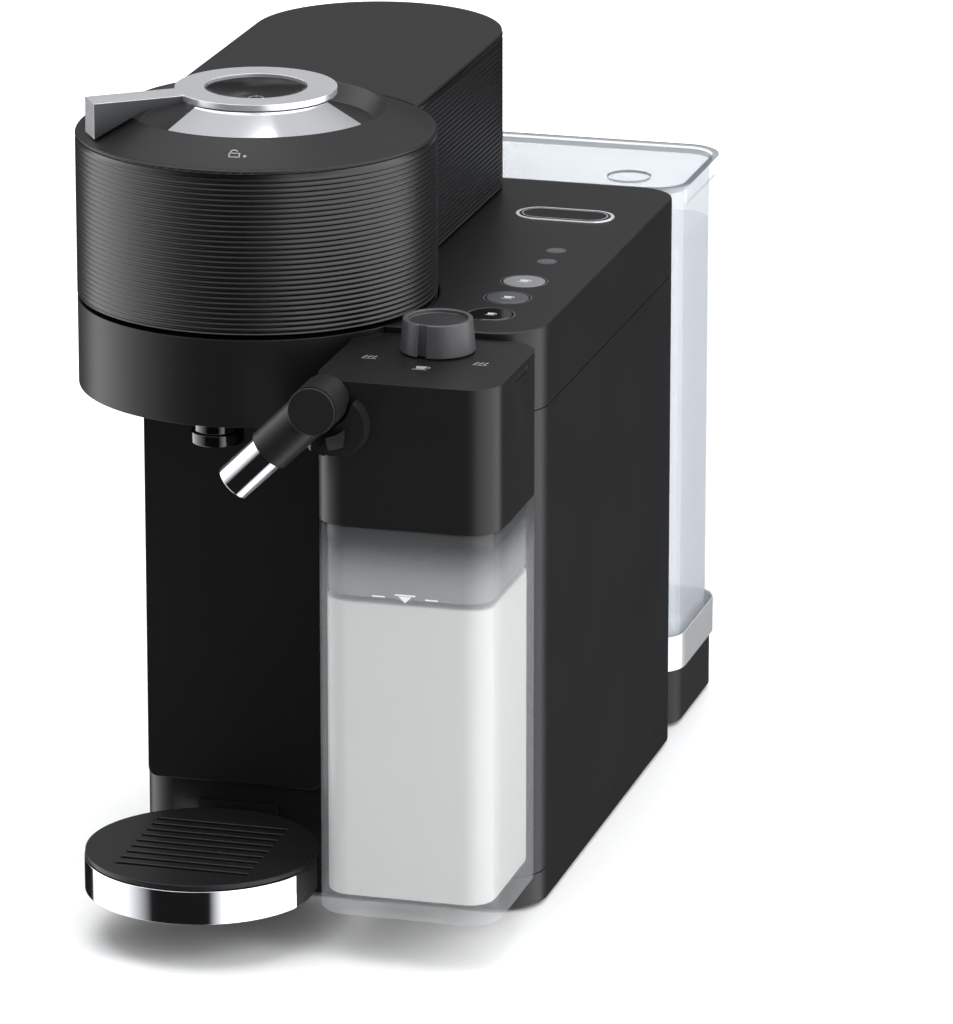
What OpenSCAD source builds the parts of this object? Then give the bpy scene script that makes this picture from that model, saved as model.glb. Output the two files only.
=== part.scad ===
// Pod coffee machine with milk jug, milk spout, water tank and cup support.
// Millimetres. Origin: middle of the overall box at the table, front = -Y, up = +Z.
// Every sub-part is one module; the list at the end of the file draws them.

/* [Brew head] */
// radius of the round front of the head
head_r = 69.6; // [55:85]
// underside of the head
head_z = 234.5; // [210:260]
// top of the ribbed wall
rib_top_z = 297; // [270:320]
// radius of the round recess that holds the lever
recess_r = 50; // [40:58]
// height of the recess rim
rim_z = 306.3; // [298:312]
// half width of the rear arch
arch_w = 50.8; // [40:60]
// distance from the head axis to the centre of the arch's round end
arch_len = 167.6; // [120:200]

/* [Lever and brew button] */
// top face of the lever ring, the highest face of the machine
lever_top_z = 314.2; // [308:325]
// outer radius of the lever ring
lever_ring_r = 31.2; // [25:36]
// radius of the dish inside the ring
dish_r = 19.8; // [15:23]
// reach of the lever tab from the head axis
tab_reach = 66; // [50:68]
// width of the lever tab
tab_w = 13; // [8:20]
// direction of the tab at rest, degrees
tab_angle = 213.5; // [180:250]
// radius of the brew button
brew_button_r = 9.3; // [6:14]

/* [Body] */
// left wall
body_l = -66.2; // [-90:-40]
// right wall
body_r = 93.5; // [70:120]
// front wall
body_f = -106.8; // [-140:-80]
// back wall
body_b = 122; // [90:150]
// flat top of the body
body_top_z = 233; // [200:260]
// seam under the top cover
cover_z = 201; // [180:215]
// seam over the bottom skirt
skirt_z = 13.5; // [8:25]
// wall thickness of the mouldings
wall = 2.6; // [1.8:4]
// underside of the plain ring round the brew unit
ring_z = 198; // [180:215]

/* [Cup support] */
// radius of the round support
support_r = 45.1; // [38:52]
// top face of the support
support_z = 34; // [20:60]
// underside of the support
support_low_z = 18; // [2:30]
// distance of its centre in front of the head axis
support_y = 82.1; // [70:95]

/* [Milk jug] */
// left face of jug and lid
jug_l = 25.3; // [10:40]
// right face of jug and lid
jug_r = 96.3; // [80:110]
// front face of jug and lid
jug_f = -176.7; // [-200:-150]
// back face of jug and lid
jug_b = -107.7; // [-120:-100]
// corner radius
jug_corner = 13; // [6:20]
// bottom of the jug
jug_low_z = 20; // [5:40]
// seam between jug and lid
jug_seam_z = 174; // [140:190]
// top of the lid
lid_top_z = 230.5; // [210:240]
// radius of the froth knob at its foot
knob_r = 14.3; // [10:18]
// height of the froth knob
knob_h = 12.6; // [8:20]

/* [Milk spout] */
// height of the swivel axis
swivel_z = 223.6; // [205:228]
// sideways place of the swivel axis
swivel_x = 31.6; // [20:40]
// radius of the swivel knuckle
knuckle_r = 9.3; // [7:12]
// radius of the steel tube
tube_r = 7.5; // [4:9]
// slope of the spout under the horizontal, degrees
spout_slope = 44.9; // [20:70]

/* [Water tank] */
// left face of the tank
tank_l = -20; // [-40:10]
// right face of the tank wall
tank_r = 92.8; // [80:110]
// front face of the tank wall
tank_f = 123.4; // [100:140]
// back face of the tank wall
tank_b = 197.6; // [170:210]
// bottom of the tank, on its dock
tank_z = 24.3; // [10:40]
// top of the tank rim
tank_top_z = 232.5; // [210:250]

/* [Hidden] */
$fn = 72;
// head axis
ax = -26.7;
ay = -72.1;
// centre of the arch's round end
arch_y = ay + arch_len;
rear_r = ax - body_l;
// hinge of the head
hinge_y = ay + 205;
hinge_z = 241;
// select buttons
sel_x = 69.1;
sel_y = [-81.8, -57.1, -32.3];
sel_r = 8.3;
// jug middle
jug_x = (jug_l + jug_r) / 2;
knob_y = -127;
port_z = 212;
// guide pins beside the port
pin_dx = 16;
// coffee outlet
out_x = -25.8;
out_y = -129;
// cup support
sup_x = -25.8;
sup_y = ay - support_y;
// middle of the spout arm
arm_y = -186.2;

// ---- shared outlines ----

module box(x0, y0, z0, x1, y1, z1) {
    translate([x0, y0, z0]) cube([x1 - x0, y1 - y0, z1 - z0]);
}

module rect(x0, y0, x1, y1) {
    translate([x0, y0]) square([x1 - x0, y1 - y0]);
}

// rectangle with round corners, grown by g
module rounded(x0, y0, x1, y1, r, g = 0) {
    rect(x0 + r, y0 - g, x1 - r, y1 + g);
    rect(x0 - g, y0 + r, x1 + g, y1 - r);
    for (x = [x0 + r, x1 - r])
        for (y = [y0 + r, y1 - r])
            translate([x, y]) circle(r + g);
}

// plan of the body, set in by d: straight walls and a round rear under the arch
module body2d(d = 0) {
    rect(body_l + 15, body_f + d, body_r - 20, body_b - d);
    rect(body_l + d, body_f + 20, body_r - d, body_b - 26.5);
    rect(body_l + d, body_f + 15, body_l + 16, body_f + 21);
    rect(body_r - 21, body_b - 27, body_r - d, body_b - 16);
    rect(body_r - 21, body_b - 17, body_r - 16, body_b - d);
    translate([body_l + 15, body_f + 15]) circle(15 - d);
    translate([body_r - 20, body_f + 20]) circle(20 - d);
    translate([body_r - 16, body_b - 16]) circle(16 - d);
    translate([ax, arch_y]) circle(rear_r - d);
}

// plan of the head, set in by d: round front, narrower arch, round end
module head2d(d = 0) {
    translate([ax, ay]) circle(head_r - d);
    rect(ax - arch_w + d, ay, ax + arch_w - d, arch_y);
    translate([ax, arch_y]) circle(arch_w - d);
}

// plan of the tank, set in by d, with the round bay that clears the arch
module tank2d(d = 0) {
    difference() {
        rounded(tank_l, tank_f, tank_r, tank_b, 14, -d);
        translate([ax, arch_y]) circle(arch_w + 2 + d);
    }
}

module tube(r, r_in, h) {
    difference() {
        cylinder(r = r, h = h);
        translate([0, 0, -1]) cylinder(r = r_in, h = h + 2);
    }
}

module along_y(x, y, z) {
    translate([x, y, z]) rotate([-90, 0, 0]) children();
}

// ---- chassis ----

module base_plate() {
    color("#202022")
    difference() {
        translate([0, 0, 4]) linear_extrude(3) body2d(3.2);
        for (p = [[-52, -92], [76, -88], [-45, 112], [76, 104], [-52, 0], [78, 0]])
            translate([p[0], p[1], 3]) cylinder(r = 1.9, h = 6);
        for (y = [-60 : 12 : 84])
            box(5, y, 3, 50, y + 4, 8);
    }
}

module rubber_feet() {
    color("#161616")
    for (p = [[-50, -78], [74, -70], [-44, 98], [74, 90]])
        translate([p[0], p[1], 0]) {
            cylinder(r = 9, h = 2.2);
            translate([0, 0, 2.1]) cylinder(r = 7, h = 1.6);
        }
}

module base_screws() {
    color("#8f9094")
    for (p = [[-52, -92], [76, -88], [-45, 112], [76, 104], [-52, 0], [78, 0]])
        translate([p[0], p[1], 0]) {
            translate([0, 0, 2.2]) cylinder(r = 3.2, h = 1.5);
            translate([0, 0, 3.6]) cylinder(r = 1.5, h = 3.6);
        }
}

module bottom_skirt() {
    color("#242426")
    difference() {
        translate([0, 0, 1.2]) linear_extrude(skirt_z - 1.2) body2d();
        translate([0, 0, 0]) linear_extrude(skirt_z + 1) body2d(wall);
    }
}

module body_shell() {
    color("#2a2a2c")
    difference() {
        translate([0, 0, skirt_z + 0.4]) linear_extrude(cover_z - skirt_z - 0.8) body2d();
        translate([0, 0, skirt_z]) linear_extrude(cover_z) body2d(wall);
        // doorway of the capsule bin
        box(body_l - 2, -42, 30, body_l + 5, 42, 116);
        // hole of the cord gland
        along_y(ax, body_b, 34) cylinder(r = 6.2, h = 30);
        // water way to the tank dock
        along_y(40, body_b - 6, 19) cylinder(r = 4.4, h = 12);
    }
}

module body_top_cover() {
    color("#2c2c2e")
    difference() {
        union() {
            difference() {
                translate([0, 0, cover_z]) linear_extrude(body_top_z - cover_z) body2d();
                translate([0, 0, cover_z - 1]) linear_extrude(body_top_z - cover_z - 2) body2d(wall);
            }
            // collars round the select buttons
            for (y = sel_y)
                translate([sel_x, y, body_top_z - 8]) cylinder(r = sel_r + 2, h = 7);
        }
        translate([ax, ay, cover_z - 1]) cylinder(r = head_r + 0.3, h = 60);
        for (y = sel_y)
            translate([sel_x, y, body_top_z - 10]) cylinder(r = sel_r + 0.3, h = 20);
        // seat of the badge
        translate([58.7, 70, body_top_z - 0.9]) linear_extrude(3) badge2d(0.15);
        for (p = [[69.3, 15.9], [70, -1.1]])
            translate([p[0], p[1], body_top_z - 1]) cylinder(r = 4.15, h = 3);
        // steam port and guide pins in the front wall
        for (x = [jug_x - pin_dx, jug_x, jug_x + pin_dx])
            along_y(x, body_f - 2, port_z) cylinder(r = (x == jug_x) ? 5.5 : 3.3, h = 8);
        // cable slot under the arch
        box(ax - 12, 60, body_top_z - 6, ax + 12, 84, body_top_z + 2);
    }
}

module badge2d(g = 0) {
    translate([-10.5, 0]) circle(9.7 + g);
    translate([10.5, 0]) circle(9.7 + g);
    rect(-10.5, -9.7 - g, 10.5, 9.7 + g);
}

module badge() {
    color("#b9babd")
    translate([58.7, 70, body_top_z - 0.6]) linear_extrude(0.9) badge2d();
}

module indicator_lenses() {
    color("#55565a")
    for (p = [[69.3, 15.9], [70, -1.1]])
        translate([p[0], p[1], body_top_z - 0.7]) cylinder(r = 4, h = 0.75);
}

module column_panel() {
    color("#1d1d1f")
    translate([0, body_f - 0.3, 0]) rotate([90, 0, 0])
        linear_extrude(1.3) rounded(-62, 44, 8, 193, 4);
}

module brew_unit_housing() {
    color("#232325")
    difference() {
        translate([ax, ay, ring_z]) cylinder(r = head_r - 0.1, h = 34.4);
        // seat over the body wall
        translate([0, 0, ring_z - 1]) linear_extrude(cover_z - ring_z + 1.3) body2d(-0.3);
        // bore of the brew chamber
        translate([ax, ay, ring_z + 6]) cylinder(r = 45, h = 40);
        translate([ax, ay, ring_z - 1]) cylinder(r = 37, h = 40);
        // coffee way to the outlet
        translate([out_x, out_y, ring_z - 1]) cylinder(r = 4.2, h = 20);
    }
}

module coffee_spout() {
    color("#1b1b1d")
    translate([out_x, out_y, 0])
    difference() {
        union() {
            translate([0, 0, 189]) cylinder(r = 10.2, h = 4.6);
            translate([0, 0, 193.5]) cylinder(r = 8.8, h = ring_z - 193.8);
        }
        translate([0, 0, 188]) cylinder(r = 4, h = 12);
        translate([0, 0, 188]) cylinder(r1 = 8, r2 = 4, h = 4);
    }
}

module brew_chamber() {
    color("#3a3a3d")
    translate([ax, ay, 0])
    difference() {
        union() {
            translate([0, 0, 186]) cylinder(r = 31, h = 20);
            translate([0, 0, 204.6]) cylinder(r = 44.4, h = 25);
        }
        translate([0, 0, 190]) cylinder(r = 28.6, h = 50);
        translate([0, 0, 206.6]) cylinder(r = 41.5, h = 40);
        translate([0, 0, 180]) cylinder(r = 9.6, h = 20);
    }
}

// spinning cup that takes a pod, with its shaft
module capsule_cup() {
    color("#9a9ba0")
    translate([ax, ay, 0]) {
        difference() {
            union() {
                translate([0, 0, 197]) cylinder(r = 26.5, h = 26);
                translate([0, 0, 222]) cylinder(r = 33, h = 3);
            }
            translate([0, 0, 226]) sphere(r = 24.5);
        }
        translate([0, 0, 166]) cylinder(r = 4, h = 32);
    }
}

module cup_bearing() {
    color("#b4b5b8")
    translate([ax, ay, 187]) tube(9.3, 4.06, 7);
}

module spin_motor() {
    color("#6d6e72")
    translate([ax, ay, 0])
    difference() {
        union() {
            translate([0, 0, 128]) cylinder(r = 24, h = 44);
            translate([0, 0, 124]) cylinder(r = 9, h = 5);
            for (a = [0 : 90 : 270])
                rotate([0, 0, a + 45]) translate([26, 0, 168]) cylinder(r = 5, h = 4);
        }
        translate([0, 0, 160]) cylinder(r = 4.06, h = 20);
        for (a = [0 : 90 : 270])
            rotate([0, 0, a + 45]) translate([27, 0, 160]) cylinder(r = 1.8, h = 20);
    }
}

module internal_frame() {
    color("#4a4a4d")
    difference() {
        union() {
            // shelf under the brew unit
            box(-60, -99, 173, 20, -30, 177);
            // upright rib
            box(14, -98, 8, 18, 60, 174);
            // cradle of the pump
            box(30, -60, 8, 84, -56, 48);
            box(30, 0, 8, 84, 4, 48);
            box(30, -56.5, 8, 84, 0.5, 12);
            // foot of the upright and its tie to the cradle
            box(14, -98, 7.4, 31, 60, 10);
            // shelf under the pod bin
            box(-62, -38, 28, 15, 38, 31.6);
        }
        translate([ax, ay, 170]) cylinder(r = 10, h = 10);
        along_y(57, -62, 34) cylinder(r = 18.3, h = 70);
    }
}

module water_pump() {
    color("#8a6a3a")
    union() {
        along_y(57, -66, 34) cylinder(r = 18, h = 76);
        along_y(57, -74, 34) cylinder(r = 7, h = 10);
        along_y(57, 8, 34) cylinder(r = 6, h = 14);
    }
}

module thermoblock() {
    color("#a8a9ac")
    difference() {
        union() {
            box(26, -86, 70, 84, 20, 104);
            for (y = [-80 : 10 : 10])
                box(28, y, 103, 82, y + 3, 110);
        }
        along_y(40, -90, 87) cylinder(r = 4, h = 24);
        along_y(jug_x + 16, -90, 87) cylinder(r = 4, h = 24);
    }
}

module flow_meter() {
    color("#d8d9da")
    translate([57, 60, 0]) {
        translate([0, 0, 24]) cylinder(r = 15, h = 18);
        along_y(0, -20, 33) cylinder(r = 4, h = 8);
        along_y(0, 12, 33) cylinder(r = 4, h = 12);
    }
}

module circuit_board() {
    color("#2f6b45")
    union() {
        box(24, -90, 190, 86, 40, 191.8);
        box(34, -80, 191.7, 56, -62, 197);
        for (y = [-50 : 14 : 20])
            translate([44, y, 191.7]) cylinder(r = 4.5, h = 8);
        for (y = [-44 : 20 : 16])
            box(60, y, 191.7, 76, y + 10, 195);
    }
}

// pipe from the dock to the thermoblock
module water_hose() {
    color("#c9ccd0")
    union() {
        along_y(40, 84, 19) cylinder(r = 3.2, h = 39);
        translate([40, 84, 19]) sphere(r = 3.6);
        translate([40, 84, 19]) cylinder(r = 3.2, h = 68);
        translate([40, 84, 87]) sphere(r = 3.6);
        along_y(40, 20.6, 87) cylinder(r = 3.2, h = 63.4);
    }
}

// pipe from the thermoblock to the steam nozzle
module steam_hose() {
    color("#d3d5d8")
    union() {
        translate([jug_x + 16, -97, 87]) cylinder(r = 2.6, h = 99);
        along_y(jug_x + 16, -97, 87) cylinder(r = 2.6, h = 10.6);
        translate([jug_x + 16, -97, 87]) sphere(r = 3);
        translate([jug_x + 16, -97, 186]) sphere(r = 3);
        translate([jug_x, -97, 186]) rotate([0, 90, 0]) cylinder(r = 2.6, h = 16);
        translate([jug_x, -97, 186]) sphere(r = 3);
        translate([jug_x, -97, 186]) cylinder(r = 2.6, h = 19);
    }
}

module cord_gland() {
    color("#18181a")
    translate([ax, arch_y + rear_r - 6, 34]) rotate([-90, 0, 0])
    difference() {
        union() {
            cylinder(r = 6, h = 14);
            translate([0, 0, 6.4]) cylinder(r = 8.4, h = 3);
        }
        translate([0, 0, -1]) cylinder(r = 3.2, h = 20);
    }
}

module hinge_bracket() {
    color("#303033")
    difference() {
        union() {
            box(ax - 18, hinge_y - 17, body_top_z + 0.05, ax + 18, hinge_y - 2, body_top_z + 1.4);
            for (x = [ax - 17, ax + 13])
                translate([x, 0, 0]) rotate([90, 0, 90]) linear_extrude(4) {
                    translate([hinge_y, hinge_z]) circle(6);
                    polygon([[hinge_y - 16, body_top_z + 1], [hinge_y - 3, body_top_z + 1],
                             [hinge_y + 4, hinge_z - 4], [hinge_y, hinge_z + 6],
                             [hinge_y - 6, hinge_z + 4]]);
                }
        }
        translate([ax - 40, hinge_y, hinge_z]) rotate([0, 90, 0]) cylinder(r = 3.05, h = 80);
    }
}

module hinge_pin() {
    color("#c4c5c8")
    translate([ax - 26, hinge_y, hinge_z]) rotate([0, 90, 0]) cylinder(r = 3, h = 52);
}

// ---- brew head ----

module head_shell() {
    color("#29292b")
    difference() {
        union() {
            difference() {
                translate([0, 0, head_z]) linear_extrude(rib_top_z - head_z - 0.3) head2d();
                translate([0, 0, head_z + 5]) linear_extrude(rib_top_z - head_z - 10) head2d(3.2);
                // open floor under the arch
                translate([0, 0, head_z - 1]) linear_extrude(8) {
                    rect(ax - arch_w + 5, ay + 60, ax + arch_w - 5, arch_y);
                    translate([ax, arch_y]) circle(arch_w - 3.2);
                }
                // well of the lever shaft and the pod plate
                translate([ax, ay, head_z - 1]) cylinder(r = 40, h = 8);
            }
            // lugs on the hinge pin
            for (x = [ax - 25, ax + 19])
                translate([x, 0, 0]) rotate([90, 0, 90]) linear_extrude(4.5) {
                    rect(hinge_y - 8, hinge_z, hinge_y + 3, rib_top_z - 2);
                    translate([hinge_y - 1, hinge_z]) circle(5.4);
                }
            // bearing tube of the lever shaft
            translate([ax, ay, 270]) tube(17, 12.06, rib_top_z - 271);
        }
        translate([ax, ay, rib_top_z - 8]) cylinder(r = 12.06, h = 12);
        translate([ax - 27, hinge_y, hinge_z]) rotate([0, 90, 0]) cylinder(r = 3.3, h = 54);
    }
}

module head_top_cover() {
    color("#2d2d2f")
    difference() {
        union() {
            translate([0, 0, rib_top_z]) linear_extrude(1.3) head2d(0.3);
            translate([ax, ay, rib_top_z]) cylinder(r1 = head_r, r2 = recess_r, h = rim_z - rib_top_z);
        }
        translate([ax, ay, rib_top_z + 2.4]) cylinder(r1 = 45.5, r2 = recess_r, h = rim_z - rib_top_z - 2.3);
        translate([ax, ay, rib_top_z - 1]) cylinder(r = 12.3, h = 20);
    }
}

module piercing_plate() {
    color("#8d8e92")
    translate([ax, ay, 0])
    difference() {
        union() {
            translate([0, 0, 236]) cylinder(r = 31, h = 4);
            translate([0, 0, 228]) cylinder(r1 = 1.2, r2 = 3, h = 9);
            translate([0, 0, 239.5]) cylinder(r = 11, h = 14);
            for (a = [0 : 60 : 300])
                rotate([0, 0, a]) translate([22, 0, 232.4]) cylinder(r1 = 0.8, r2 = 1.8, h = 4);
        }
        translate([0, 0, 227]) cylinder(r = 0.8, h = 40);
    }
}

module button_dish() {
    color("#1a1a1c")
    translate([ax, ay, 0]) {
        rotate_extrude()
            polygon([[9.6, 304], [19.4, 304], [19.4, 313], [17.4, 311.2], [13.6, 309.6], [9.6, 309]]);
        translate([0, 0, 303.6]) cylinder(r = 19.4, h = 1.2);
        // post through the lever shaft
        translate([0, 0, 253.8]) cylinder(r = 7.9, h = 50);
    }
}

module brew_button() {
    color("#222224")
    translate([ax, ay, 0])
    difference() {
        translate([0, 0, 306.2]) cylinder(r = brew_button_r, h = 3.6);
        translate([0, 0, 309.4 + 60]) sphere(r = 60, $fn = 96);
    }
}

// ring and tab of the locking lever
module lever_ring() {
    color("#cfd0d2")
    difference() {
        union() {
            translate([ax, ay, 303.5]) cylinder(r = lever_ring_r - 4.5, h = 8.6);
            translate([ax, ay, lever_top_z - 2.4]) cylinder(r = lever_ring_r, h = 2.4);
            translate([ax, ay, 0]) rotate([0, 0, tab_angle]) rotate([90, 0, 0])
                translate([0, 0, -tab_w / 2]) linear_extrude(tab_w)
                    polygon([[24, 311.6], [24, lever_top_z], [tab_reach, lever_top_z - 0.7],
                             [tab_reach, 299.7], [51.5, 307], [46, 309.6], [30, 311.4]]);
        }
        translate([ax, ay, 300]) cylinder(r = dish_r, h = 20);
    }
}

// bright cone under the front of the lever ring
module lever_skirt() {
    color("#d6d7d9")
    translate([ax, ay, 0]) rotate([0, 0, 240]) rotate_extrude(angle = 107)
        polygon([[lever_ring_r - 4, 310.2], [lever_ring_r - 2, 311.5], [lever_ring_r, 311.5],
                 [47, 304.1], [47, 302.9], [45.8, 302.9]]);
}

// shaft and bayonet ring that lock the head onto the brew chamber
module lever_shaft() {
    color("#77787c")
    translate([ax, ay, 0])
    difference() {
        union() {
            translate([0, 0, 250]) cylinder(r = 12, h = 50);
            translate([0, 0, 299.9]) cylinder(r = 27, h = 3.3);
            translate([0, 0, 250]) cylinder(r = 36.5, h = 4);
            translate([0, 0, 241]) tube(36.5, 33.5, 10);
            for (a = [30 : 120 : 270])
                rotate([0, 0, a]) translate([34, -5, 236]) cube([3.5, 10, 6]);
        }
        translate([0, 0, 240]) cylinder(r = 11.3, h = 14);
        translate([0, 0, 240]) cylinder(r = 8.2, h = 70);
    }
}

// ---- buttons of the body ----

module select_button(y) {
    translate([sel_x, y, body_top_z - 6]) cylinder(r = sel_r, h = 6.3);
    translate([sel_x, y, body_top_z - 11]) cylinder(r = sel_r + 1.6, h = 2.4);
    translate([sel_x, y, body_top_z - 9]) cylinder(r = sel_r - 1.5, h = 4);
}

module select_button_1() {
    color("#111113") select_button(sel_y[0]);
}

module select_button_2() {
    color("#3b3b3e") select_button(sel_y[1]);
}

module select_button_3() {
    color("#5a5a5e") select_button(sel_y[2]);
}

module steam_nozzle() {
    color("#c2c3c6")
    difference() {
        union() {
            along_y(jug_x, -116, port_z) cylinder(r = 4, h = 22);
            along_y(jug_x, -103.8, port_z) cylinder(r = 7, h = 3);
            translate([jug_x, -97, port_z - 6.6]) cylinder(r = 3.4, h = 7);
        }
        along_y(jug_x, -117, port_z) cylinder(r = 1.8, h = 18);
    }
}

module guide_pins() {
    color("#b9babd")
    for (x = [jug_x - pin_dx, jug_x + pin_dx]) {
        along_y(x, -116, port_z) cylinder(r = 3, h = 16.5);
        along_y(x, -101.8, port_z) cylinder(r = 4.4, h = 2.5);
    }
}

// ---- cup support ----

module tray_bracket() {
    color("#2b2b2d")
    union() {
        box(sup_x - 13, -126, 21.6, sup_x + 13, body_f - 0.3, 26.4);
        box(sup_x - 16, -108.4, 19, sup_x + 16, body_f - 0.3, 36);
    }
}

module drip_tray() {
    color("#1f1f21")
    difference() {
        translate([sup_x, sup_y, support_low_z]) cylinder(r = support_r - 1.1, h = 13.6);
        translate([sup_x, sup_y - 2, support_low_z + 2.4]) difference() {
            cylinder(r = support_r - 5, h = 20);
            box(-30, 27, -1, 30, 60, 30);
        }
        // pocket that slides over the bracket
        box(sup_x - 13.5, -126.6, 21, sup_x + 13.5, -100, 27);
        // flat that faces the body
        box(sup_x - 17, -110, 10, sup_x + 17, -100, 50);
    }
}

// bright band round the front of the support
module tray_band() {
    color("#d2d3d5")
    translate([sup_x, sup_y, support_low_z + 0.4]) rotate([0, 0, 110])
        rotate_extrude(angle = 230)
            translate([support_r - 0.75, 0]) square([0.75, 13.2]);
}

module cup_plate() {
    color("#232325")
    difference() {
        translate([sup_x, sup_y, support_z - 2]) cylinder(r = support_r - 0.3, h = 2);
        for (i = [-4 : 4])
            box(sup_x - 26, sup_y + i * 6.5 - 1.2, 30, sup_x + 26, sup_y + i * 6.5 + 1.2, 36);
        box(sup_x - 17, -110, 10, sup_x + 17, -100, 50);
    }
}

// ---- milk jug ----

module milk_jug() {
    color("#dfe3e6")
    difference() {
        translate([0, 0, jug_low_z]) linear_extrude(jug_seam_z - jug_low_z)
            rounded(jug_l, jug_f, jug_r, jug_b, jug_corner);
        translate([0, 0, jug_low_z + 7]) linear_extrude(200)
            rounded(jug_l, jug_f, jug_r, jug_b, jug_corner, -2.6);
    }
}

module jug_lid() {
    color("#28282a")
    difference() {
        union() {
            translate([0, 0, jug_seam_z + 0.3]) linear_extrude(lid_top_z - jug_seam_z - 0.3)
                rounded(jug_l, jug_f, jug_r, jug_b, jug_corner);
            // rim that enters the jug
            translate([0, 0, jug_seam_z - 6]) linear_extrude(8)
                rounded(jug_l, jug_f, jug_r, jug_b, jug_corner, -2.9);
        }
        // hollow under the milk works
        translate([0, 0, jug_seam_z - 8]) linear_extrude(34)
            rounded(jug_l, jug_f, jug_r, jug_b, jug_corner, -5.6);
        // port and guide holes in the back
        along_y(jug_x, -119, port_z) cylinder(r = 4.4, h = 20);
        along_y(jug_x, -110.2, port_z) cylinder(r = 8.2, h = 4);
        for (x = [jug_x - pin_dx, jug_x + pin_dx])
            along_y(x, -118, port_z) cylinder(r = 3.4, h = 20);
        // seat of the knob stem
        translate([jug_x, knob_y, lid_top_z - 9]) cylinder(r = 5.06, h = 12);
        // slits of the lid latches
        box(jug_l - 1, -147, 225.6, jug_l + 4.6, -129, 228.6);
        box(jug_r - 4.6, -147, 225.6, jug_r + 1, -129, 228.6);
        // milk way to the straw
        translate([jug_x, -142, 196]) cylinder(r = 3.2, h = 8);
        // clearance beside the brew unit
        translate([ax, ay, ring_z - 0.8]) cylinder(r = head_r + 0.35, h = 40);
        // bore of the spout collar
        collar_axis() translate([0, 0, -2.4]) cylinder(r = 9.3, h = 30);
    }
}

module port_seal() {
    color("#7d2f2a")
    along_y(jug_x, -110, port_z) tube(7.8, 4.2, 2);
}

module milk_straw() {
    color("#e6e8ea")
    translate([jug_x, -142, 30]) tube(3, 2, 173);
}

module froth_knob() {
    color("#4b4c50")
    difference() {
        union() {
            translate([jug_x, knob_y, lid_top_z + 0.4]) cylinder(r1 = knob_r, r2 = knob_r - 1.1, h = knob_h);
            translate([jug_x, knob_y, lid_top_z - 8]) cylinder(r = 5, h = 9);
        }
        translate([jug_x, knob_y, lid_top_z + knob_h - 1.2]) cylinder(r = knob_r - 2.9, h = 5);
        // pointer groove
        translate([jug_x, knob_y, 0]) rotate([0, 0, 259])
            box(knob_r - 2.2, -2, lid_top_z, knob_r + 2, 2, lid_top_z + 20);
    }
}

// flared collar on the front left corner of the lid, cut away where the arm swings
module spout_collar() {
    color("#2a2a2c") {
        difference() {
            union() {
                difference() {
                    collar_axis() {
                        translate([0, 0, -2]) cylinder(r = 9, h = 17);
                        translate([0, 0, 11]) cylinder(r1 = 15, r2 = 12.4, h = 6.6);
                    }
                    along_y(swivel_x, -200, swivel_z) cylinder(r = knuckle_r + 4, h = 200 + jug_f - 0.4);
                    box(0, -200, 180, swivel_x + 2, jug_f + 2.6, 240);
                }
                along_y(swivel_x, jug_f - 0.3, swivel_z) cylinder(r = 8.6, h = 6);
                along_y(swivel_x, -192, swivel_z) cylinder(r = 3.4, h = 19);
            }
            // keep clear of the lid wall outside its bore
            difference() {
                translate([0, 0, 150]) linear_extrude(90)
                    rounded(jug_l, jug_f, jug_r, jug_b, jug_corner, 0.3);
                collar_axis() cylinder(r = 9, h = 30);
            }
        }
    }
}

module collar_axis() {
    translate([39.3, -164.1, 214]) rotate([0, 0, 220]) rotate([0, 90, 0]) children();
}

// place along the sleeve, d from the swivel axis
module sleeve(d) {
    translate([swivel_x, arm_y, swivel_z]) rotate([0, -90 - spout_slope, 0]) translate([0, 0, d]) children();
}

module spout_arm() {
    color("#2d2d2f")
    difference() {
        union() {
            along_y(swivel_x, -194.9, swivel_z) cylinder(r = knuckle_r, h = 17.5);
            sleeve(0) cylinder(r = knuckle_r - 0.7, h = 27);
        }
        along_y(swivel_x, -192.6, swivel_z) cylinder(r = 3.46, h = 24);
        sleeve(9) cylinder(r = tube_r + 0.08, h = 30);
    }
}

module spout_cap() {
    color("#3a3a3c")
    along_y(swivel_x, -196.6, swivel_z) cylinder(r = knuckle_r - 0.2, h = 1.7);
}

module spout_tube() {
    color("#d4d5d7") sleeve(12) tube(tube_r, tube_r - 1.1, 34.6);
}

module lid_latch_right() {
    color("#18181a") box(jug_r - 2.4, -146.6, 226, jug_r - 0.6, -129.4, 228.2);
}

module lid_latch_left() {
    color("#18181a") box(jug_l + 0.6, -146.6, 226, jug_l + 2.4, -129.4, 228.2);
}

// ---- water tank ----

module tank_dock() {
    color("#1e1e20")
    difference() {
        translate([0, 0, 1.2]) linear_extrude(tank_z - 1.6) tank2d(0.4);
        // slot of the tank valve, long enough for the tank to come off up and back
        translate([30, 160, 12]) cylinder(r = 9.5, h = 20);
        translate([30, 172, 12]) cylinder(r = 9.5, h = 20);
        box(20.5, 160, 12, 39.5, 172, 32);
        // water way to the hose
        along_y(40, tank_f, 19) cylinder(r = 3.4, h = 12);
    }
}

module water_tank() {
    color("#cfe0ea")
    difference() {
        union() {
            translate([0, 0, tank_z]) linear_extrude(tank_top_z - tank_z) tank2d();
            translate([0, 0, tank_top_z - 8]) linear_extrude(8) difference() {
                rounded(tank_l, tank_f, tank_r, tank_b, 14, 1.7);
                translate([ax, arch_y]) circle(arch_w + 1.6);
                rect(tank_l - 9, tank_f - 9, tank_r + 9, tank_f - 0.6);
            }
        }
        translate([0, 0, tank_z + 3]) linear_extrude(300) tank2d(2.4);
        translate([0, 0, tank_top_z - 4]) linear_extrude(9) tank2d(1);
        translate([30, 160, tank_z - 1]) cylinder(r = 6.2, h = 6);
    }
}

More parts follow.
